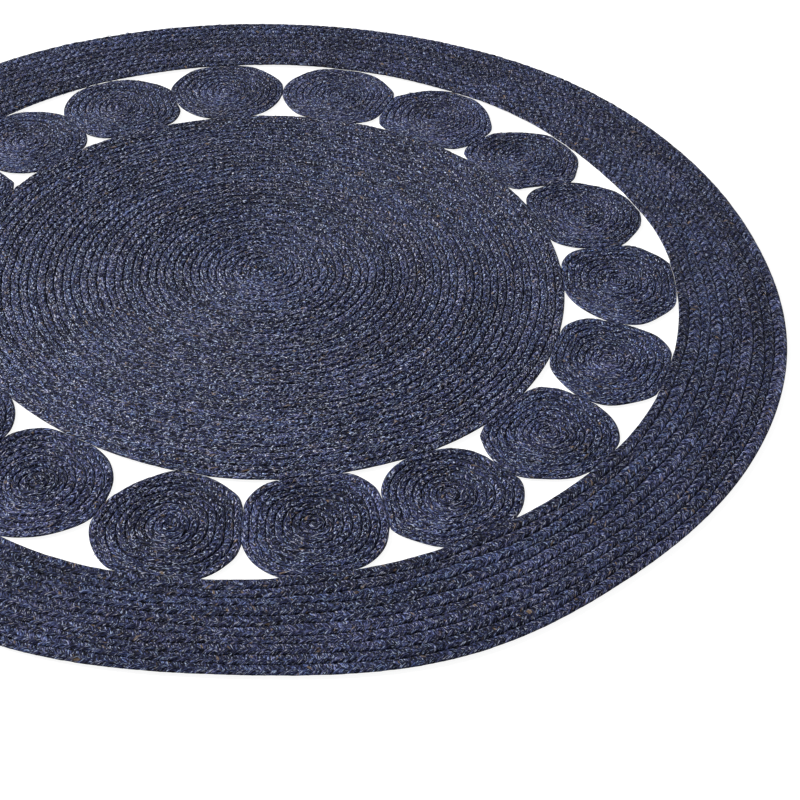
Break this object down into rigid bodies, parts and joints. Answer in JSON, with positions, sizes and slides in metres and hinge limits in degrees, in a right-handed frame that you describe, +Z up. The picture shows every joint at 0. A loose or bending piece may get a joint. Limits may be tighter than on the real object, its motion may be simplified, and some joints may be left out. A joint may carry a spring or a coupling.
{
  "type": "braided rug",
  "caption": "Round flat braided rug: a wound plaited disc, a ring of small wound mats with open gaps, and a wide plaited border.",
  "frame": {"origin": "centre of the rug's bounding box on its flat underside, which lies on the floor", "axes": "+Z up out of the floor; +X to the right and +Y away from the viewer of the picture"},
  "size_m": [1.7962, 1.7934, 0.0095],
  "materials": {
    "disc_plait": "matt navy-dyed jute plait, fine rows",
    "mat_plait": "matt navy-dyed jute plait, the finest rows",
    "border_plait": "matt navy-dyed jute plait, broad rows with clear chevrons"
  },
  "bodies": {
    "root": {"centre_disc": "disc_plait", "round_01": "mat_plait", "round_02": "mat_plait", "round_03": "mat_plait", "round_04": "mat_plait", "round_05": "mat_plait", "round_06": "mat_plait", "round_07": "mat_plait", "round_08": "mat_plait", "round_09": "mat_plait", "round_10": "mat_plait", "round_11": "mat_plait", "round_12": "mat_plait", "round_13": "mat_plait", "round_14": "mat_plait", "round_15": "mat_plait", "round_16": "mat_plait", "round_17": "mat_plait", "round_18": "mat_plait", "border_band": "border_plait"}
  },
  "joints": []
}
